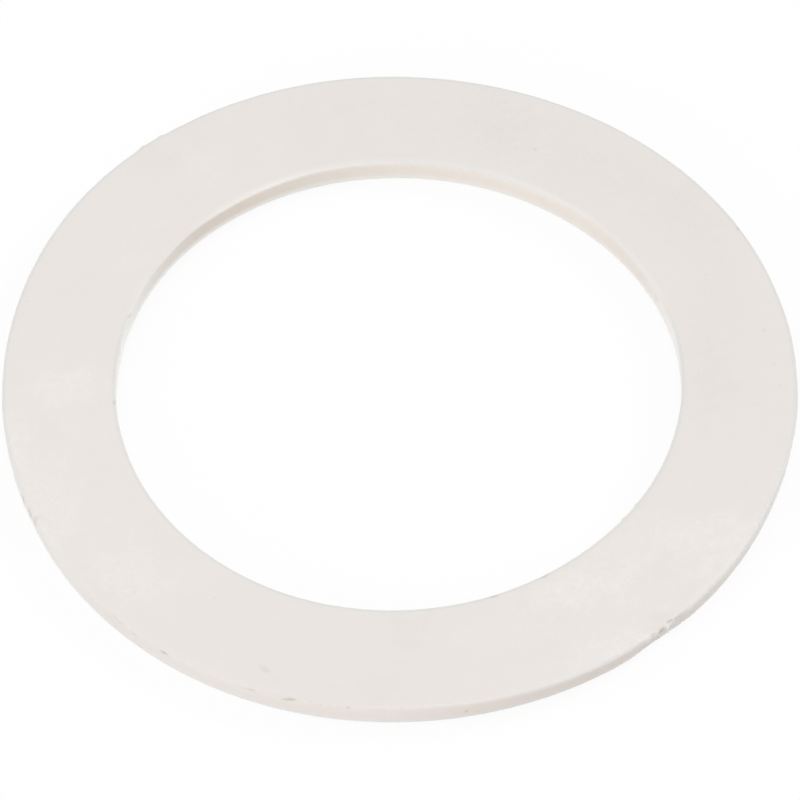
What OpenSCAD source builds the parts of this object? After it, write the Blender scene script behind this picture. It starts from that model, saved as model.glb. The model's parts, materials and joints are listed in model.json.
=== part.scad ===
// Flat ring gasket in soft off-white silicone, moulded in one piece.
// The origin is the centre of the hole at the lower face. +Z runs up along the axis.

/* [Ring] */
// Diameter of the hole
bore_d = 49.5; // [20:0.5:120]
// Width of the sealing band, from the hole to the rim
band_w = 10.25; // [4:0.25:25]
// Thickness between the two sealing faces
thickness = 2; // [1:0.1:5]

/* [Edges] */
// Radius of the rounded edges where the faces meet the walls
edge_r = 0.25; // [0.05:0.05:0.45]

/* [Wear] */
// Length of the longest nick, along the edge
nick_l = 1.1; // [0.6:0.1:1.8]
// Depth of the deepest nick, across the edge
nick_depth = 0.25; // [0.05:0.05:0.3]

/* [Hidden] */
$fn = 180;

bore_r = bore_d / 2;
rim_r = bore_r + band_w;
land_h = thickness - 2 * edge_r;
face_w = band_w - 2 * edge_r;

// Nicks in the upper edges: the angle round the axis, then the shares of nick_l and nick_depth
rim_nick_shares = [
    [29, 0.40, 0.40],
    [201, 0.90, 0.40],
    [203.7, 0.65, 0.70],
    [205.5, 0.50, 0.60],
    [206.8, 0.45, 0.40],
    [235.4, 0.60, 0.40],
    [249.2, 0.50, 0.50],
    [254.5, 0.85, 0.70],
    [307, 0.90, 0.50],
    [309.4, 0.75, 1.00],
    [311.9, 1.00, 0.60],
];
bore_nick_shares = [
    [184.9, 0.50, 0.60],
    [289.2, 0.60, 0.40],
    [300.1, 0.50, 0.40],
];

// Half section of the band: a slab with straight walls, a slab with flat faces, and four edge rounds
module section() {
    translate([bore_r, edge_r])
        square([band_w, land_h]);
    translate([bore_r + edge_r, 0])
        square([face_w, thickness]);
    for (r = [bore_r + edge_r, rim_r - edge_r], z = [edge_r, thickness - edge_r])
        translate([r, z])
            circle(r = edge_r);
}

// A ball scoops one nick out of an upper edge. side is 1 at the rim and -1 at the hole.
module nick(angle, wall_r, side, l, depth) {
    ball_r = (l * l / 4 + depth * depth) / (2 * depth);
    reach = (edge_r + ball_r - depth) * cos(45);
    rotate([0, 0, angle])
        translate([wall_r + side * (reach - edge_r), 0, thickness - edge_r + reach])
            sphere(r = ball_r, $fn = 60);
}

module nicks(shares, wall_r, side) {
    for (share = shares)
        nick(share[0], wall_r, side, share[1] * nick_l, share[2] * nick_depth);
}

module gasket() {
    color([0.93, 0.91, 0.89])
        difference() {
            rotate_extrude()
                section();
            nicks(rim_nick_shares, rim_r, 1);
            nicks(bore_nick_shares, bore_r, -1);
        }
}

gasket();
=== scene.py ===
"""Looks of the flat gasket: a soft off-white silicone ring on a pale floor, seen as in the photograph."""
import json
import math
from collections import namedtuple

import bpy
import numpy as np
from mathutils import Matrix, Vector


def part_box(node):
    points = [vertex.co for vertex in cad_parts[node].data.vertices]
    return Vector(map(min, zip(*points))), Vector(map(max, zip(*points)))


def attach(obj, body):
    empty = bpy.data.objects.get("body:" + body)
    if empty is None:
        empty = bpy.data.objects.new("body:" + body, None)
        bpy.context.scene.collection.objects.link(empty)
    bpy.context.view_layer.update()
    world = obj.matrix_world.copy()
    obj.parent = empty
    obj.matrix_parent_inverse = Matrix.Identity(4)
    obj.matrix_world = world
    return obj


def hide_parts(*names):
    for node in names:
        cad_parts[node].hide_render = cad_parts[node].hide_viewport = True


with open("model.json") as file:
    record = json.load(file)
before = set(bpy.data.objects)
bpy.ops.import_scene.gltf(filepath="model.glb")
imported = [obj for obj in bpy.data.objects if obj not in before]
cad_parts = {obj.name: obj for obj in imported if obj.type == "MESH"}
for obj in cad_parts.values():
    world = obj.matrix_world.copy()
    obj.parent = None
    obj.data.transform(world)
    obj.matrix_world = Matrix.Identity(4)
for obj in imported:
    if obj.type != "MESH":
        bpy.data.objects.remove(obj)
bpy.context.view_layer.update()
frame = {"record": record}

# Sizes, in metres
MM = 0.001
low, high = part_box("gasket")
RIM_R = (high.x - low.x) / 2
THICKNESS = high.z - low.z
BORE_R = next(m["dims"]["r_mm"] for m in frame["record"]["mounts"] if m["name"] == "bore") * MM
BAND = RIM_R - BORE_R

# Rounding of the four edges, and of the upper ones beside a wall in view
EDGE_R = 0.13 * MM
SOFT_EDGE_R = 0.22 * MM

# The rim shows its wall on the near side of the ring, and the bore on the far side: the sines of the angle
# round the ring where a wall starts to show, and where it shows in full
SHOWS_FROM = 0.15
SHOWS_WHOLE = 0.45

# Mesh: cross sections round the ring, and points along the parts of one section
SECTIONS = 1200
WALL_STEPS = 12
UPPER_ROUND_STEPS = 6
LOWER_ROUND_STEPS = 4
LOWER_FACE_STEPS = 4
# Places across the upper face, as shares of it: those beside each edge, then the first, the end and the
# count of those between
BESIDE_EDGE = [0.0, 0.010, 0.022, 0.036, 0.052, 0.072, 0.1]
BETWEEN_EDGES = (0.14, 0.9, 17)
# Cross sections lie this much closer together at a mark, as far out as this share of its half length and
# this many degrees more
MARK_CLOSER = 6.0
MARK_REACH = 1.3
MARK_MARGIN = 0.1
# Steps per turn when the angles of the cross sections are worked out
ANGLE_STEPS = 36000

# The soft ring's small departures from a true circle: (waves round the ring, cosine part, sine part).
# The lean waves move each wall's foot, and the lift waves raise and lower the whole section.
RIM_WAVES = [
    (0, 0.03 * MM, 0),
    (1, 0.11 * MM, 0.05 * MM),
    (2, -0.14 * MM, -0.05 * MM),
    (3, 0.05 * MM, 0.015 * MM),
]
RIM_LEAN_WAVES = [
    (0, -0.135 * MM, 0),
    (1, -0.06 * MM, 0.03 * MM),
    (2, -0.03 * MM, 0.09 * MM),
]
BORE_WAVES = [
    (1, 0.02 * MM, 0.09 * MM),
    (2, 0.055 * MM, 0.097 * MM),
]
BORE_LEAN_WAVES = [
    (0, 0.02 * MM, 0),
]
LIFT_WAVES = [
    (2, 0.093 * MM, -0.248 * MM),
    (3, -0.006 * MM, 0.044 * MM),
]

# Local departures: angle and half width in degrees, then how much larger the wall's radius is at its top
# edge and at its foot, in mm
Dent = namedtuple("Dent", "angle span top foot")
RIM_DENTS = [
    Dent(49, 20, 0.04, 0.04),
    Dent(129.4, 2.2, 0.09, 0.09),
    Dent(141, 13, 0.10, 0.10),
    Dent(167, 8, -0.04, -0.04),
    Dent(187, 4, 0.07, 0.07),
    Dent(204, 6, -0.08, -0.08),
    Dent(262, 12, -0.03, -0.03),
    Dent(273, 10, -0.20, 0.0),
    Dent(287, 5, -0.06, 0.0),
    Dent(300, 7, 0.06, 0.0),
    Dent(309, 4, 0.0, -0.14),
    Dent(318, 9, -0.04, 0.0),
    Dent(337, 9, -0.24, -0.03),
    Dent(350, 7, 0.0, 0.04),
    Dent(2, 6, -0.07, -0.05),
    Dent(16, 9, -0.07, -0.07),
]
BORE_DENTS = [
    Dent(10, 5, 0.04, 0.04),
    Dent(46, 20, 0.0, -0.06),
    Dent(84, 9, 0.04, 0.0),
    Dent(106, 10, 0.10, 0.0),
    Dent(127, 14, 0.0, -0.04),
    Dent(138, 8, 0.11, 0.0),
    Dent(155, 6, 0.06, 0.0),
    Dent(175, 7, -0.05, -0.05),
    Dent(230, 22, -0.055, -0.055),
    Dent(309, 16, -0.07, -0.07),
]

# Smooth noise is a sum of this many waves, the longest of them this many times as long as the shortest
NOISE_WAVES = 28
NOISE_LONGEST = 3.0
# Waver of the walls: its size, its shortest wave and its seed
WAVER = 0.006 * MM
WAVER_REACH = 0.9 * MM
WAVER_SEED = 3
# Roughness of the marks' outlines: its shortest wave and its seed, and how much it moves an outline
# and a mark's depth
ROUGH_REACH = 0.16 * MM
ROUGH_SEED = 11
ROUGH_OUTLINE = 0.35
ROUGH_DEPTH = 0.25
# Warp of the patches on the face, in mm, with its shortest wave and its two seeds
WARP = 0.5
WARP_REACH = 1.6 * MM
WARP_X_SEED = 21
WARP_Y_SEED = 22

# Camera of the photograph: focal length in pixels of its 800-pixel frame, place and aim
FRAME_PX = 800
SENSOR = 36.0
FOCAL_PX = 6758.0
CAMERA_DISTANCE = 16.973 * RIM_R
CAMERA_ELEVATION = math.radians(52.377)
CAMERA_PAN = 0.00021
CAMERA_TILT = -0.00066
CAMERA_ROLL = math.radians(-0.320)
CLIP_START = 0.01
CLIP_END = 10.0


def srgb(*parts):
    """Linear colour, with alpha, of an sRGB colour given in parts of 255."""
    shares = [p / 255 for p in parts]
    return [s / 12.92 if s <= 0.04045 else ((s + 0.055) / 1.055) ** 2.4 for s in shares] + [1.0]


# Marks of wear
# What a mark or a speck does to the colour: shares of the red, green and blue that it leaves
PLAIN = (1.0, 1.0, 1.0)
EARTH = (0.60, 0.48, 0.36)
SOOT = (0.54, 0.53, 0.51)
ROSE = (0.84, 0.77, 0.77)
CHALK = (1.22, 1.24, 1.27)

# Marks in the walls and the edges: angle in degrees, then place, half length, half width and depth in mm,
# then the tint and how strongly it shows. A place is down the wall from the middle of its upper rounding,
# or below zero on the face. A depth below zero stands out.
Mark = namedtuple("Mark", "wall angle place length width depth tint strength")
MARKS = [
    Mark("rim", 29.4, -0.15, 0.20, 0.15, 0.03, SOOT, 0.35),
    Mark("rim", 127.3, 0.20, 0.36, 0.60, -0.08, PLAIN, 0.0),
    Mark("rim", 130.7, 0.20, 0.30, 0.60, -0.10, PLAIN, 0.0),
    Mark("rim", 199.8, 1.10, 0.42, 0.38, 0.03, SOOT, 0.55),
    Mark("rim", 202.6, 0.90, 0.48, 0.45, 0.06, EARTH, 0.50),
    Mark("rim", 204.5, 0.75, 0.35, 0.45, 0.05, EARTH, 0.40),
    Mark("rim", 204.9, 0.00, 0.20, 0.40, 0.02, SOOT, 0.25),
    Mark("rim", 208.0, 0.95, 0.95, 0.12, 0.02, SOOT, 0.22),
    Mark("rim", 225.7, 0.10, 0.25, 0.10, 0.03, SOOT, 0.30),
    Mark("rim", 226.8, 0.24, 0.28, 0.14, 0.03, SOOT, 0.28),
    Mark("rim", 229.6, 0.36, 0.42, 0.12, 0.03, SOOT, 0.28),
    Mark("rim", 234.9, 0.24, 0.36, 0.15, 0.05, SOOT, 0.72),
    Mark("rim", 248.2, 0.17, 0.36, 0.10, 0.01, SOOT, 0.18),
    Mark("rim", 249.0, 0.07, 0.26, 0.14, 0.03, SOOT, 0.28),
    Mark("rim", 253.95, 0.15, 0.28, 0.14, 0.05, SOOT, 0.44),
    Mark("rim", 254.8, 0.00, 0.34, 0.15, 0.07, EARTH, 0.46),
    Mark("rim", 258.9, 0.05, 0.12, 0.08, 0.02, SOOT, 0.22),
    Mark("rim", 262.7, 0.00, 0.14, 0.10, 0.02, SOOT, 0.38),
    Mark("rim", 267.8, 0.14, 0.16, 0.08, 0.02, SOOT, 0.16),
    Mark("rim", 270.2, 0.00, 0.12, 0.08, 0.02, SOOT, 0.20),
    Mark("rim", 279.2, 1.04, 0.16, 0.17, 0.02, EARTH, 0.42),
    Mark("rim", 305.4, 0.60, 0.30, 0.13, -0.01, CHALK, 0.35),
    Mark("rim", 305.9, 0.02, 0.55, 0.24, 0.12, SOOT, 0.06),
    Mark("rim", 307.2, 0.55, 0.22, 0.14, -0.01, CHALK, 0.45),
    Mark("rim", 308.1, 0.00, 0.30, 0.24, 0.12, SOOT, 0.08),
    Mark("rim", 309.7, 0.28, 0.33, 0.42, 0.16, EARTH, 0.46),
    Mark("rim", 310.2, 1.90, 2.30, 0.90, 0.20, CHALK, 0.15),
    Mark("rim", 310.8, 0.55, 0.13, 0.50, -0.12, CHALK, 0.70),
    Mark("rim", 311.4, -0.18, 0.32, 0.12, 0.08, SOOT, 0.50),
    Mark("rim", 311.5, 1.65, 0.15, 0.45, -0.20, CHALK, 0.50),
    Mark("rim", 312.5, -0.04, 0.45, 0.10, 0.03, EARTH, 0.25),
    Mark("rim", 313.2, 0.08, 0.85, 0.42, 0.16, ROSE, 0.25),
    Mark("rim", 337.8, 0.40, 0.12, 0.30, -0.10, CHALK, 0.15),
    Mark("bore", 23.3, 0.70, 0.24, 0.20, 0.03, SOOT, 0.28),
    Mark("bore", 162.8, 0.00, 0.25, 0.13, 0.04, SOOT, 0.40),
    Mark("bore", 171.9, 0.20, 0.24, 0.30, -0.07, SOOT, 0.16),
    Mark("bore", 184.9, -0.10, 0.22, 0.20, 0.10, SOOT, 0.25),
    Mark("bore", 289.1, -0.10, 0.40, 0.12, 0.05, SOOT, 0.40),
    Mark("bore", 300.1, -0.10, 0.40, 0.12, 0.04, SOOT, 0.30),
    Mark("bore", 321.8, 0.00, 0.22, 0.15, -0.09, SOOT, 0.10),
    Mark("bore", 326.1, 0.00, 0.18, 0.15, -0.11, SOOT, 0.10),
]
# How steeply a mark ends
MARK_FALL = 1.3

# Pale bloom and darker clouds on the face, partly the silicone's own mottling and partly painted light and
# shade, the broad ones brighter towards the left and near right and darker towards the far side: middle x
# and y, half length, half width (mm), turn (degrees), and how much brighter the patch looks, in parts of
# 255
Patch = namedtuple("Patch", "x y length width turn level")
PATCHES = [
    Patch(-29.0, -0.5, 3.8, 1.5, 5, 2.8),
    Patch(-33.3, -7.0, 4.5, 1.1, 100, 3.0),
    Patch(-30.0, -13.0, 4.5, 2.3, 115, 2.8),
    Patch(-23.0, -20.5, 4.0, 2.8, 150, 2.8),
    Patch(-17.5, 24.5, 4.2, 1.2, 135, 1.8),
    Patch(-11.5, 27.0, 1.6, 1.0, 100, 1.8),
    Patch(-23.5, 15.0, 4.5, 1.5, 70, 1.5),
    Patch(15.5, -22.8, 5.5, 2.0, 18, 4.0),
    Patch(25.5, -16.8, 5.5, 2.2, 10, 3.2),
    Patch(27.0, -19.3, 4.2, 1.3, 46, 2.7),
    Patch(21.0, -26.0, 2.0, 1.3, 30, 1.2),
    Patch(17.0, -29.0, 4.5, 1.3, 25, 3.5),
    Patch(9.5, 28.0, 2.6, 2.0, 80, -1.2),
    Patch(16.0, 26.0, 11.0, 4.5, 140, -1.8),
    Patch(27.0, 18.5, 4.0, 2.5, 110, -1.6),
    Patch(27.5, 1.5, 4.0, 1.6, 95, -2.4),
    Patch(28.5, 9.0, 8.0, 3.5, 100, -0.8),
    Patch(1.0, -26.8, 2.4, 1.6, 10, -2.6),
    Patch(0.0, -32.5, 4.0, 1.6, 0, -1.2),
    Patch(12.0, -25.3, 1.8, 1.1, 10, -2.2),
    Patch(22.0, -20.6, 1.8, 0.9, 20, -2.0),
    Patch(21.8, -23.3, 3.0, 1.4, 40, -0.8),
    Patch(-30.0, -5.2, 2.0, 0.6, 120, -1.6),
    Patch(-28.5, 9.5, 3.0, 2.0, 60, -1.0),
    Patch(0.0, 30.0, 13.0, 6.0, 0, -1.7),
    Patch(20.5, -23.5, 10.0, 5.5, 45, 1.8),
    Patch(-24.0, -17.0, 10.0, 6.0, 140, 0.9),
    Patch(-30.0, -1.5, 10.0, 5.0, 90, 1.3),
    Patch(-29.0, 14.0, 4.0, 2.5, 60, 0.9),
    Patch(-20.5, 26.5, 4.0, 2.5, 35, -1.5),
    Patch(-5.5, 28.0, 2.5, 3.0, 0, 0.8),
    Patch(22.5, 22.0, 6.0, 3.0, 125, -0.9),
    Patch(26.3, -3.5, 2.5, 1.2, 95, -1.4),
    Patch(22.5, -24.2, 2.4, 0.8, 5, 1.8),
    Patch(17.0, -20.0, 3.5, 1.4, 45, 1.2),
    Patch(7.5, -27.0, 8.0, 2.4, 8, 1.6),
    Patch(6.0, -32.0, 7.0, 1.6, 10, 0.9),
    Patch(25.0, -13.0, 4.0, 2.0, 60, 0.9),
    Patch(22.5, -26.8, 2.0, 1.5, 40, -4.5),
    Patch(-6.0, -33.0, 4.0, 1.4, 170, -1.2),
    Patch(15.0, -30.0, 3.0, 1.5, 25, -0.9),
    Patch(15.0, -24.5, 3.0, 1.6, 20, -0.9),
]
# How steeply a patch ends, and the least upward part of the normal where it shows
PATCH_FALL = 1.4
PATCH_UPRIGHT = 0.5

# Small specks and smears on the face: middle x and y, half length, half width (mm), turn (degrees), then
# the tint and how strongly it shows
Speck = namedtuple("Speck", "x y length width turn tint strength")
SPECKS = [
    Speck(12.4, 26.6, 0.30, 0.22, 0, SOOT, 0.20),
    Speck(9.8, 32.1, 0.22, 0.16, 0, SOOT, 0.12),
    Speck(32.2, 5.5, 0.40, 0.30, 90, SOOT, 0.12),
    Speck(30.1, 5.2, 0.20, 0.16, 0, SOOT, 0.10),
    Speck(33.0, 1.6, 0.45, 0.20, 80, SOOT, 0.10),
    Speck(33.4, -0.8, 0.30, 0.20, 90, SOOT, 0.10),
    Speck(31.2, -2.8, 0.20, 0.16, 0, SOOT, 0.08),
    Speck(27.3, 11.8, 0.25, 0.20, 0, SOOT, 0.08),
    Speck(-32.8, 9.0, 0.28, 0.22, 0, SOOT, 0.08),
    Speck(-15.8, -23.0, 0.35, 0.25, 45, SOOT, 0.10),
    Speck(-26.0, -16.5, 0.25, 0.20, 0, SOOT, 0.08),
    Speck(-22.7, -22.4, 0.22, 0.18, 0, SOOT, 0.08),
    Speck(-11.50, -30.65, 0.85, 0.46, -34, EARTH, 0.125),
    Speck(-10.60, -31.60, 0.90, 0.50, -50, ROSE, 0.06),
]
# The share of a speck's half size within which it is at full strength
SPECK_CORE = 0.2

# Painted light and shade on the edges
# Places are in mm inwards of the middle of an upper rounding, over the face, or below zero down the wall.
# A pair of places is where a tint starts and where it is full.
# Painted shade on the free edges, whose roundings turn away: a greyer line, the faintly cooler zone behind
# it, and where both end down the wall
SHADE_LINE_TINT = (0.925, 0.946, 0.963)
LINE_PLACES = (0.36, 0.16)
SHADE_ZONE_TINT = (0.987, 0.996, 0.996)
PALER_PLACES = (0.9, 0.3)
FREE_WALL_PLACES = (-0.6, -0.3)

# The lip on the face beside a wall in view, a painted highlight band: its tint, its width, the place where
# it is full from the face's side, and the places where it starts and is full from the wall's side
LIP_HIGHLIGHT_TINT = {"rim": (0.998, 1.010, 1.022), "bore": (1.022, 1.037, 1.052)}
LIP_WIDTH = {"rim": 1.2, "bore": 0.8}
LIP_FULL = 0.35
LIP_PLACES = (-0.05, 0.15)
# The angle where the lip is strongest, the cosines of the angles from there where it grows and is full,
# and the share of it that shows everywhere else
LIP_TOWARDS = {"rim": math.radians(312), "bore": math.radians(88)}
LIP_REACH = {"rim": (0.80, 0.97), "bore": (0.62, 0.88)}
LIP_LEAST = {"rim": 0.2, "bore": 0.3}
# The painted highlight along the rim's lip, a bright line: its tint, place and half width
GLINT_TINT = (1.012, 1.024, 1.038)
GLINT_PLACE = 0.27
GLINT_SPAN = 0.12

# Painted shade dulls the rounding between the upper face and the rim on the left, where the left lamp
# lights it
ROUND_SHADE_TINT = (0.972, 0.980, 0.985)
ROUND_PLACES = (0.30, 0.10)
ROUND_TOWARDS = math.radians(222)
ROUND_REACH = (0.7, 0.95)

# Painted highlights and painted shade on stretches of the upper roundings: angle and half width in degrees,
# place, and how much brighter they look, in parts of 255
Crest = namedtuple("Crest", "wall angle span place level")
CREST_LIGHT_AND_SHADE = [
    Crest("rim", 252, 5, 0.00, -2.5),
    Crest("rim", 260, 4, 0.25, -2.0),
    Crest("rim", 261, 5, 0.00, -2.5),
    Crest("rim", 287, 8, 0.25, -2.2),
    Crest("rim", 301, 5, 0.12, -3.0),
    Crest("rim", 309, 3.5, -0.18, 3.0),
    Crest("rim", 313, 9, -0.22, 5.0),
    Crest("rim", 319, 5, 0.06, -4.0),
    Crest("rim", 335, 4, 0.25, -4.0),
    Crest("bore", 30, 5, 0.05, 3.0),
    Crest("bore", 46, 7, 0.05, -2.5),
    Crest("bore", 55, 15, 0.25, 2.0),
    Crest("bore", 72, 12, 0.12, -3.0),
    Crest("bore", 86, 8, 0.25, -2.5),
    Crest("bore", 116, 6, 0.16, 6.0),
    Crest("bore", 128, 6, 0.08, 4.0),
    Crest("bore", 141, 8, 0.25, -2.5),
    Crest("bore", 151, 4, 0.05, -4.0),
    Crest("bore", 174, 9, 0.25, -2.5),
]
# Half width of such a stretch across the rounding, and how much its painted light sparkles
CREST_SPAN = 0.18
CREST_SPARKLE = 0.7

# Painted light and shade on the walls, which vary round the ring with the way each part faces the light.
# For an angle: how much brighter the wall's upper part looks, then its foot, and how much warmer its upper
# part looks, in parts of 255
WALL_SHADE_AND_WARMTH = {
    "rim": [
        (180, -5, -2, 2),
        (195, -5, -1, 4),
        (210, -8.5, -4, 2.5),
        (225, -11, -7, 4),
        (240, -10, -6, 5.5),
        (270, -6.5, -3, 7),
        (282, -11.5, -5, 8),
        (297, -14.5, -5, 9.5),
        (310, -12, -1, 6.5),
        (325, -9, -4, 3),
        (340, -6, 2, -2),
    ],
    "bore": [
        (0, 2, 10, 0),
        (12, 9, 14, 0),
        (30, -9.5, 3, 7),
        (45, -7, 4, 8.5),
        (60, -5.5, 4, 8.5),
        (90, -4.5, 8, 9),
        (105, -9, 9, 9),
        (120, -13.5, 11, 12),
        (135, -17.5, 16, 12),
        (150, -8, 22, 3.5),
        (158, 0, 21, 0),
        (163, 6, 20, 0),
        (170, 14, 20, 0),
        (178, 13, 18, 0),
        (186, 9, 14, 0),
        (195, 5, 12, 0),
        (230, -1, 6, 0),
        (330, 0, 6, 0),
    ],
}
# How much warmer each wall's foot looks, and what a wall's warmth adds to its green, as a share
FOOT_WARMTH = 1.5
WARM_GREEN = {"rim": -0.2, "bore": -0.02}
# The wall's look sets in this far to each side of the rounding, and the rim's more slowly where its lip is
# strong
WALL_FADE = 0.17
SLOW_FADE = 0.46
# Where the upper part's look ends and where the foot's is full
FOOT_PLACES = (-1.05, -2.0)

# Colours of the silicone's faces and of its walls, and the upright part of the normal at which the colour
# of a wall sets in and is full
FACE_COLOUR = srgb(235.3, 230.4, 226.2)
WALL_COLOUR = srgb(232.5, 230.2, 227)
WALL_UPRIGHT = (0.95, 0.25)
# How much one part of 255 of sRGB changes the linear light of this pale silicone
LEVEL = 0.0096

# Grain of the silicone: the wisps that break up the patches, with the least and the most of a patch that
# they leave, the fine powder, with its strength on bare silicone and its added share in a patch, and the
# broad clouds. Strengths are in parts of 255. NOISE_RANGE is the part of the noise that is used.
NOISE_RANGE = (0.30, 0.70)
WISPS = {"scale": 1300.0, "detail": 4.0, "rough": 0.70}
WISP_SHARES = (0.58, 1.30)
POWDER_GRAIN = {"scale": 4200.0, "detail": 2.0, "rough": 0.6}
POWDER = 0.35
POWDER_SHARE = 0.35
CLOUD_GRAIN = {"scale": 170.0, "detail": 3.0}
CLOUD = 0.5
# The ragged outlines of the specks, and the fine bumps of the surface
RAGGED_SCALE = 3500.0
RAGGED = 0.4 * MM
BUMP_GRAIN = {"scale": 1500.0, "detail": 3.0}
BUMP_STRENGTH = 0.15
BUMP_DEPTH = 0.02 * MM

# The floor: half its side, its paint for the light that bounces off it, and how much of what the eye sees
# of it is plain white. Then the strength of the light from all round.
WHITE = (1.0, 1.0, 1.0, 1.0)
FLOOR_HALF = 0.75
FLOOR_COLOUR = srgb(247, 247, 246)
FLOOR_WHITE = 0.90
WORLD_LEVEL = 0.757


# The ring
def even_steps(start, stop, count):
    """Evenly spaced values from start, without stop."""
    return [start + (stop - start) * i / count for i in range(count)]


def section_points(top):
    """The section of the ring: for each point, its radius, height and outward normal, before the waves.
    top is the rounding of the upper edges."""
    e, t = EDGE_R, THICKNESS
    quarter = math.pi / 2
    points = []

    def arc(centre_r, centre_z, size, start, count):
        for angle in even_steps(start, start - quarter, count):
            c, s = math.cos(angle), math.sin(angle)
            points.append((centre_r + size * c, centre_z + size * s, c, s))

    def line(r0, z0, r1, z1, nr, nz, shares):
        for share in shares:
            points.append((r0 + (r1 - r0) * share, z0 + (z1 - z0) * share, nr, nz))

    wall = even_steps(0, 1, WALL_STEPS)
    far_edge = [1 - share for share in reversed(BESIDE_EDGE[1:])]
    face = BESIDE_EDGE + even_steps(*BETWEEN_EDGES) + far_edge
    line(BORE_R, e, BORE_R, t - top, -1, 0, wall)
    arc(BORE_R + top, t - top, top, math.pi, UPPER_ROUND_STEPS)
    line(BORE_R + top, t, RIM_R - top, t, 0, 1, face)
    arc(RIM_R - top, t - top, top, quarter, UPPER_ROUND_STEPS)
    line(RIM_R, t - top, RIM_R, e, 1, 0, wall)
    arc(RIM_R - e, e, e, 0, LOWER_ROUND_STEPS)
    line(RIM_R - e, 0, BORE_R + e, 0, 0, -1, even_steps(0, 1, LOWER_FACE_STEPS))
    arc(BORE_R + e, e, e, -quarter, LOWER_ROUND_STEPS)
    return np.array(points)


def section_run(section, top):
    """How far each point of a section is along its outline, and how far down each wall from the middle of
    its upper rounding, as columns: run, bore, rim."""
    radius, height = section[:, 0], section[:, 1]
    step = np.hypot(np.diff(radius, append=radius[:1]), np.diff(height, append=height[:1]))
    run = np.concatenate([[0], np.cumsum(step)[:-1]])
    bore_corner = THICKNESS - EDGE_R - top + top * math.pi / 4
    rim_corner = bore_corner + BAND - top * 2 + top * math.pi / 2
    return np.stack([run, bore_corner - run, run - rim_corner], axis=1)


def section_table(top):
    """The section's points with their runs beside them."""
    section = section_points(top)
    return np.hstack([section, section_run(section, top)])


def degrees_from(angle, place):
    """How far each angle, in degrees, is from place, from -180 to 180."""
    return (angle - place + 180) % 360 - 180


def ring_angles():
    """Angles of the cross sections, closer together near the marks."""
    fine = np.linspace(0, 360, ANGLE_STEPS + 1)
    density = np.ones_like(fine)
    for mark in MARKS:
        span = MARK_REACH * math.degrees(mark.length * MM / RIM_R) + MARK_MARGIN
        away = degrees_from(fine, mark.angle)
        density = np.maximum(density, MARK_CLOSER * np.exp(-(away / span) ** 4))
    total = np.concatenate([[0], np.cumsum((density[1:] + density[:-1]) / 2)])
    wanted = np.arange(SECTIONS) / SECTIONS * total[-1]
    return np.radians(np.interp(wanted, total, fine))


def waves(angle, terms):
    return sum(c * np.cos(n * angle) + s * np.sin(n * angle) for n, c, s in terms)


def dents(angle, places, sink):
    """How far the local departures move a wall. sink is 0 at its top edge and 1 at its foot."""
    out = np.zeros(np.broadcast(angle, sink).shape)
    for dent in places:
        away = degrees_from(np.degrees(angle), dent.angle)
        out += np.exp(-(away / dent.span) ** 2) * (dent.top + (dent.foot - dent.top) * sink) * MM
    return out


def wall_move(angle, sink, round_waves, lean_waves, places):
    """How far a wall lies outside its true circle."""
    return waves(angle, round_waves) + waves(angle, lean_waves) * sink + dents(angle, places, sink)


# How far the waved ring is raised so that its lowest places touch the floor
REST_LIFT = float(np.max(-waves(np.radians(np.arange(360.0)), LIFT_WAVES)))


def soft_noise(x, y, reach, seed):
    """Smooth noise of about unit size from crossed waves; reach is its shortest wave."""
    draw = np.random.default_rng(seed)
    out = np.zeros(np.broadcast(x, y).shape)
    for _ in range(NOISE_WAVES):
        way = draw.uniform(0, 2 * math.pi)
        pitch = 2 * math.pi / (reach * draw.uniform(1.0, NOISE_LONGEST))
        out += np.sin(pitch * (math.cos(way) * x + math.sin(way) * y) + draw.uniform(0, 2 * math.pi))
    return out / math.sqrt(NOISE_WAVES / 2)


def smooth(value, start, end):
    """0 at start and 1 at end, eased; start may be above end."""
    share = np.clip((value - start) / (end - start), 0, 1)
    return share * share * (3 - 2 * share)


def press_mark(mark, angle, down, rough):
    """How strongly a mark acts at each point, from 0 to 1."""
    away = (angle - math.radians(mark.angle) + math.pi) % (2 * math.pi) - math.pi
    x = away * (RIM_R if mark.wall == "rim" else BORE_R) / (mark.length * MM)
    y = (down[mark.wall] - mark.place * MM) / (mark.width * MM)
    return np.exp(-np.maximum(x * x + y * y + ROUGH_OUTLINE * rough, 0) ** MARK_FALL)


def tinted(tint, share, colour):
    """The tint taken towards a colour, by share at each point."""
    return tint * (1 + share[..., None] * (np.array(colour) - 1))


def wall_shade_tint(wall, angle, inward, lobe):
    """Painted light and shade, and warmth, of a wall. inward is in mm from the middle of its upper
    rounding, over the face.
    """
    places, *columns = np.array(WALL_SHADE_AND_WARMTH[wall], float).T
    upper, foot, warm = [np.interp(np.degrees(angle), places, column, period=360) for column in columns]
    slow = lobe * SLOW_FADE if wall == "rim" else 0
    whole = smooth(inward, WALL_FADE + slow / 2, -WALL_FADE - slow)
    sunk = smooth(inward, *FOOT_PLACES)
    tone = LEVEL * (upper + (foot - upper) * sunk) * whole
    warmth = LEVEL * (warm + (FOOT_WARMTH - warm) * sunk) * whole
    green = warmth * WARM_GREEN[wall]
    return np.stack([1 + tone + warmth / 2, 1 + tone + green, 1 + tone - warmth / 2], axis=-1)


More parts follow.
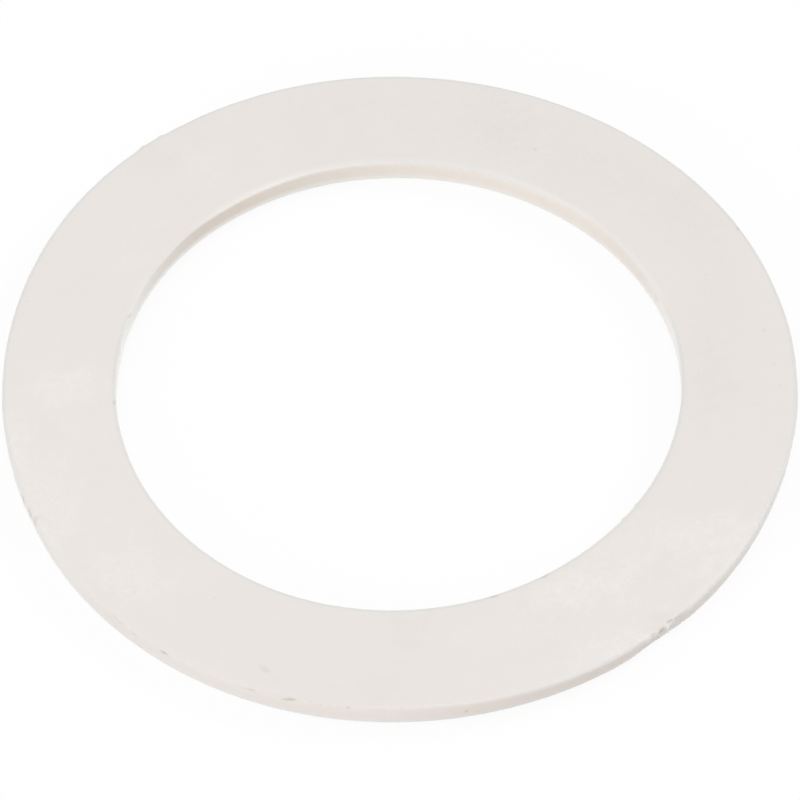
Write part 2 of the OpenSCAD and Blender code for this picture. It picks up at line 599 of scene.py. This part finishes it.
def edge_light_and_shade(angle, down, rough):
    """Painted light and shade along the edges: the highlight of the lip beside the walls in view and its
    glint, the greyer line of the free edges, the duller rounding on the left, the brighter and duller
    stretches of the roundings and the light and shade of the walls."""
    tint = np.ones(down["rim"].shape + (3,))
    side = np.sin(angle)
    free_rim = smooth(side, -SHOWS_WHOLE, -SHOWS_FROM)
    free_bore = smooth(side, SHOWS_WHOLE, SHOWS_FROM)
    for wall, free in (("rim", free_rim), ("bore", free_bore)):
        inward = -down[wall] / MM
        # Painted shade along the free edges: a greyer line and a faintly cooler zone behind it
        line = free * smooth(inward, *LINE_PLACES) * smooth(inward, *FREE_WALL_PLACES)
        shade_zone = free * smooth(inward, *PALER_PLACES) * smooth(inward, *FREE_WALL_PLACES)
        # Painted highlight: the paler band on the face beside a wall in view
        lip_highlight = (1 - free) * smooth(inward, LIP_WIDTH[wall], LIP_FULL) * smooth(inward, *LIP_PLACES)
        lobe = smooth(np.cos(angle - LIP_TOWARDS[wall]), *LIP_REACH[wall])
        lip_highlight = lip_highlight * (LIP_LEAST[wall] + (1 - LIP_LEAST[wall]) * lobe)
        if wall == "rim":
            # Painted highlight along the rim's lip
            glint = np.exp(-((inward - GLINT_PLACE) / GLINT_SPAN) ** 2) * lobe * (1 - free)
            tint = tinted(tint, glint, GLINT_TINT)
            # Painted shade that dulls the rim's rounding on the left
            left = smooth(np.cos(angle - ROUND_TOWARDS), *ROUND_REACH)
            tint = tinted(tint, smooth(np.abs(inward), *ROUND_PLACES) * left, ROUND_SHADE_TINT)
        # Painted highlights and painted shade on stretches of the roundings
        for crest in [c for c in CREST_LIGHT_AND_SHADE if c.wall == wall]:
            away = degrees_from(np.degrees(angle), crest.angle)
            bright = np.exp(-(away / crest.span) ** 2 - ((inward - crest.place) / CREST_SPAN) ** 2)
            bright = bright * (1 + CREST_SPARKLE * rough)
            tint = tint * (1 + LEVEL * crest.level * bright[..., None])
        tint = tinted(tint, line, SHADE_LINE_TINT)
        tint = tinted(tint, shade_zone, SHADE_ZONE_TINT)
        tint = tinted(tint, lip_highlight, LIP_HIGHLIGHT_TINT[wall])
        # Painted light and shade of the walls
        tint = tint * wall_shade_tint(wall, angle, inward, lobe)
    return tint


def patch_haze_and_light(x, y, upright):
    """How much brighter the patches, partly painted light and shade, make each point of the face look, in
    parts of 255.
    """
    warped_x = x / MM + WARP * soft_noise(x, y, WARP_REACH, WARP_X_SEED)
    warped_y = y / MM + WARP * soft_noise(x, y, WARP_REACH, WARP_Y_SEED)
    haze_and_light = np.zeros_like(x)
    for patch in PATCHES:
        c, s = math.cos(math.radians(patch.turn)), math.sin(math.radians(patch.turn))
        u = ((warped_x - patch.x) * c + (warped_y - patch.y) * s) / patch.length
        v = ((warped_y - patch.y) * c - (warped_x - patch.x) * s) / patch.width
        haze_and_light = haze_and_light + patch.level * np.exp(-(u * u + v * v) ** PATCH_FALL) * (upright > PATCH_UPRIGHT)
    return haze_and_light


def ring_mesh(x, y, z, tint, haze_and_light):
    """A closed mesh of the points, one row for each cross section, with its tint (stains, painted light and
    painted shade) and its haze and painted light as attributes.
    """
    around, count = x.shape
    places = np.stack([x, y, z], axis=-1).reshape(-1, 3)
    i = np.arange(around)[:, None]
    j = np.arange(count)[None, :]
    i_next = (i + 1) % around
    j_next = (j + 1) % count
    corners = [i * count + j, i * count + j_next, i_next * count + j_next, i_next * count + j]
    faces = np.stack(np.broadcast_arrays(*corners), axis=-1).reshape(-1, 4)
    mesh = bpy.data.meshes.new("silicone_ring")
    mesh.from_pydata(places.tolist(), [], faces.tolist())
    mesh.polygons.foreach_set("use_smooth", np.ones(len(faces), bool))
    colours = np.concatenate([tint, np.ones_like(tint[..., :1])], axis=-1)
    # The tint holds the marks' stains and the painted light and shade of the edges and walls
    tint_layer = mesh.attributes.new("tint", "FLOAT_COLOR", "POINT")
    tint_layer.data.foreach_set("color", colours.reshape(-1).astype(np.float32))
    haze_layer = mesh.attributes.new("haze_and_light", "FLOAT", "POINT")
    haze_layer.data.foreach_set("value", haze_and_light.reshape(-1).astype(np.float32))
    mesh.update()
    return mesh


def build_ring():
    """The ring, with the marks pressed into it."""
    angle = ring_angles()[:, None]
    side = np.sin(angle)
    tight = section_table(EDGE_R)
    soft = section_table(SOFT_EDGE_R)
    share = (tight[:, 0] - BORE_R) / BAND
    rim_shows = smooth(side, -SHOWS_FROM, -SHOWS_WHOLE)
    bore_shows = smooth(side, SHOWS_FROM, SHOWS_WHOLE)
    softness = share * rim_shows + (1 - share) * bore_shows
    blended = tight + softness[..., None] * (soft - tight)
    radius, height, normal_r, normal_z, run, bore_down, rim_down = np.moveaxis(blended, -1, 0)
    down = {"bore": bore_down, "rim": rim_down}

    sink = 1 - height / THICKNESS
    rim_move = wall_move(angle, sink, RIM_WAVES, RIM_LEAN_WAVES, RIM_DENTS)
    bore_move = wall_move(angle, sink, BORE_WAVES, BORE_LEAN_WAVES, BORE_DENTS)
    r = radius + share * rim_move + (1 - share) * bore_move
    z = height + waves(angle, LIFT_WAVES)

    along = angle * RIM_R
    push = WAVER * soft_noise(along, run, WAVER_REACH, WAVER_SEED) * np.abs(normal_r)
    rough = soft_noise(along, run, ROUGH_REACH, ROUGH_SEED)
    # Painted light and shade of the edges and walls, then the marks' stains
    tint = edge_light_and_shade(angle, down, rough)
    for mark in MARKS:
        spot = press_mark(mark, angle, down, rough)
        push = push - mark.depth * MM * spot * (1 + ROUGH_DEPTH * rough)
        tint = tinted(tint, mark.strength * spot, mark.tint)
    r = r + push * normal_r
    z = z + push * np.maximum(normal_z, 0) + REST_LIFT
    x = r * np.cos(angle)
    y = r * np.sin(angle)

    mesh = ring_mesh(x, y, z, tint, patch_haze_and_light(x, y, normal_z))
    ring = bpy.data.objects.new("silicone_ring", mesh)
    bpy.context.scene.collection.objects.link(ring)
    return ring


# Materials
class Graph:
    """Short calls for building a material's or a world's nodes."""

    def __init__(self, owner):
        owner.use_nodes = True
        self.tree = owner.node_tree
        self.tree.nodes.clear()

    def node(self, kind, values=None, **settings):
        made = self.tree.nodes.new(kind)
        for name, value in settings.items():
            setattr(made, name, value)
        for name, value in (values or {}).items():
            if isinstance(value, bpy.types.NodeSocket):
                self.tree.links.new(value, made.inputs[name])
            else:
                made.inputs[name].default_value = value
        return made

    def math(self, operation, *values, clamp=False):
        values = dict(enumerate(values))
        return self.node("ShaderNodeMath", values, operation=operation, use_clamp=clamp).outputs[0]

    def vector(self, operation, values):
        return self.node("ShaderNodeVectorMath", values, operation=operation).outputs

    def noise(self, vector, scale, detail=2.0, rough=0.5):
        values = {"Vector": vector, "Scale": scale, "Detail": detail, "Roughness": rough}
        return self.node("ShaderNodeTexNoise", values).outputs

    def ramp(self, value, start, end, low=0.0, high=1.0):
        values = {"Value": value, "From Min": start, "From Max": end, "To Min": low, "To Max": high}
        return self.node("ShaderNodeMapRange", values, interpolation_type="SMOOTHSTEP").outputs[0]

    def mix(self, share, first, second):
        values = {0: share, 6: first, 7: second}
        return self.node("ShaderNodeMix", values, data_type="RGBA").outputs[2]


def silicone_grain(g, spot):
    """How much the grain and the patches, with their painted light and shade, scale the colour."""
    haze_and_light = g.node("ShaderNodeAttribute", attribute_name="haze_and_light").outputs["Fac"]
    wisps = g.ramp(g.noise(spot, **WISPS)["Fac"], *NOISE_RANGE, *WISP_SHARES)
    powder = g.ramp(g.noise(spot, **POWDER_GRAIN)["Fac"], *NOISE_RANGE, -1.0, 1.0)
    cloud = g.ramp(g.noise(spot, **CLOUD_GRAIN)["Fac"], *NOISE_RANGE, -1.0, 1.0)
    dusting = g.math("ADD", g.math("MULTIPLY", g.math("ABSOLUTE", haze_and_light), POWDER_SHARE), POWDER)
    tone = g.math("MULTIPLY", haze_and_light, wisps)
    tone = g.math("MULTIPLY_ADD", powder, dusting, tone)
    tone = g.math("MULTIPLY_ADD", cloud, CLOUD, tone)
    return g.math("MULTIPLY_ADD", tone, LEVEL, 1.0)


def specked(g, spot, base):
    """The base colour with the specks and smears on it."""
    ragged = g.noise(spot, RAGGED_SCALE)["Color"]
    ragged = g.vector("SUBTRACT", {0: ragged, 1: (0.5, 0.5, 0.5)})[0]
    ragged = g.vector("MULTIPLY_ADD", {0: ragged, 1: (RAGGED, RAGGED, 0), 2: spot})[0]
    for speck in SPECKS:
        values = {
            "Vector": ragged,
            "Location": (speck.x * MM, speck.y * MM, THICKNESS),
            "Rotation": (0, 0, math.radians(speck.turn)),
            "Scale": (speck.length * MM, speck.width * MM, 1.0),
        }
        local = g.node("ShaderNodeMapping", values, vector_type="TEXTURE").outputs[0]
        away = g.vector("LENGTH", {0: local})["Value"]
        share = g.ramp(away, 1.0, SPECK_CORE, 0.0, speck.strength)
        shade = g.mix(share, PLAIN + (1.0,), speck.tint + (1.0,))
        base = g.vector("MULTIPLY", {0: base, 1: shade})[0]
    return base


def silicone():
    material = bpy.data.materials.new("silicone")
    g = Graph(material)
    place = g.node("ShaderNodeTexCoord")
    spot = place.outputs["Object"]
    upright = g.node("ShaderNodeSeparateXYZ", {0: place.outputs["Normal"]}).outputs[2]
    wall = g.ramp(g.math("ABSOLUTE", upright), *WALL_UPRIGHT)
    base = g.mix(wall, FACE_COLOUR, WALL_COLOUR)
    # The tint: the marks' stains with the painted light and shade of the edges and walls
    tint = g.node("ShaderNodeAttribute", attribute_name="tint").outputs["Color"]
    base = g.vector("MULTIPLY", {0: base, 1: tint})[0]
    base = g.vector("SCALE", {0: base, "Scale": silicone_grain(g, spot)})[0]
    base = specked(g, spot, base)
    height = g.noise(spot, **BUMP_GRAIN)["Fac"]
    bump = g.node("ShaderNodeBump", {"Height": height, "Strength": BUMP_STRENGTH, "Distance": BUMP_DEPTH})
    values = {
        "Base Color": base,
        "Normal": bump.outputs[0],
        "Roughness": 0.5,
        "IOR": 1.41,
        "Subsurface Weight": 0.3,
        "Subsurface Radius": (1.0, 0.8, 0.65),
        "Subsurface Scale": 0.5 * MM,
    }
    shader = g.node("ShaderNodeBsdfPrincipled", values)
    g.node("ShaderNodeOutputMaterial", {"Surface": shader.outputs[0]})
    return material


def seen_by_eye(g):
    """1 for the camera's rays and for those that mirror or pass on what it sees, else 0."""
    rays = g.node("ShaderNodeLightPath").outputs
    total = g.math("ADD", rays["Is Camera Ray"], rays["Is Glossy Ray"])
    return g.math("ADD", total, rays["Is Transmission Ray"], clamp=True)


def pale_floor():
    """Plain white to the eye, apart from a little of the light and shade that falls on it."""
    material = bpy.data.materials.new("pale_floor")
    g = Graph(material)
    seen = seen_by_eye(g)
    paint = g.mix(seen, FLOOR_COLOUR, WHITE)
    matt = g.node("ShaderNodeBsdfDiffuse", {"Color": paint}).outputs[0]
    white = g.node("ShaderNodeEmission", {"Color": WHITE, "Strength": 1.0}).outputs[0]
    both = g.node("ShaderNodeMixShader", {0: g.math("MULTIPLY", seen, FLOOR_WHITE), 1: matt, 2: white})
    g.node("ShaderNodeOutputMaterial", {"Surface": both.outputs[0]})
    return material


# The scene
def build_floor():
    half = FLOOR_HALF
    corners = [(-half, -half, 0), (half, -half, 0), (half, half, 0), (-half, half, 0)]
    mesh = bpy.data.meshes.new("floor")
    mesh.from_pydata(corners, [], [(0, 1, 2, 3)])
    floor = bpy.data.objects.new("floor", mesh)
    bpy.context.scene.collection.objects.link(floor)
    floor.data.materials.append(pale_floor())
    return floor


def build_world():
    """Even light from all round, which the eye sees as plain white."""
    world = bpy.data.worlds.new("studio")
    bpy.context.scene.world = world
    g = Graph(world)
    soft = g.node("ShaderNodeBackground", {"Color": WHITE, "Strength": WORLD_LEVEL}).outputs[0]
    white = g.node("ShaderNodeBackground", {"Color": WHITE, "Strength": 1.0}).outputs[0]
    both = g.node("ShaderNodeMixShader", {0: seen_by_eye(g), 1: soft, 2: white})
    g.node("ShaderNodeOutputWorld", {"Surface": both.outputs[0]})


def softbox(name, azimuth, elevation, distance, side, level):
    """A square lamp aimed at the ring. level is the light it gives a flat face turned to it; 1 shows white
    as white."""
    lamp = bpy.data.lights.new(name, "AREA")
    lamp.shape = "SQUARE"
    lamp.size = side
    lamp.energy = level * math.pi ** 2 * distance ** 2
    a, e = math.radians(azimuth), math.radians(elevation)
    way = Vector((math.cos(a) * math.cos(e), math.sin(a) * math.cos(e), math.sin(e)))
    holder = bpy.data.objects.new(name, lamp)
    holder.location = way * distance
    holder.rotation_euler = way.to_track_quat("Z", "Y").to_euler()
    bpy.context.scene.collection.objects.link(holder)


def build_camera(lift):
    """The fitted camera. lift raises it with the ring, so that the picture stays as fitted."""
    e = CAMERA_ELEVATION
    away = Vector((0, -math.cos(e), math.sin(e)))
    forward = -away
    right = forward.cross(Vector((0, 0, 1))).normalized()
    up = right.cross(forward)
    forward = (forward + CAMERA_PAN * right + CAMERA_TILT * up).normalized()
    right = forward.cross(up).normalized()
    up = right.cross(forward)
    c, s = math.cos(CAMERA_ROLL), math.sin(CAMERA_ROLL)
    right, up = c * right + s * up, -s * right + c * up
    data = bpy.data.cameras.new("camera")
    data.sensor_width = SENSOR
    data.lens = FOCAL_PX * SENSOR / FRAME_PX
    data.clip_start = CLIP_START
    data.clip_end = CLIP_END
    camera = bpy.data.objects.new("camera", data)
    place = away * CAMERA_DISTANCE + Vector((0, 0, lift))
    camera.matrix_world = Matrix.Translation(place) @ Matrix((right, up, -forward)).transposed().to_4x4()
    bpy.context.scene.collection.objects.link(camera)
    bpy.context.scene.camera = camera


ring = build_ring()
ring.data.materials.append(silicone())
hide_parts("gasket")
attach(ring, "root")

build_floor()
build_world()
softbox("left_softbox", azimuth=226, elevation=20, distance=0.6, side=0.22, level=0.285)
softbox("right_softbox", azimuth=32, elevation=30, distance=1.5, side=0.5, level=0.265)
build_camera(REST_LIFT)
bpy.context.scene.view_settings.view_transform = "Standard"
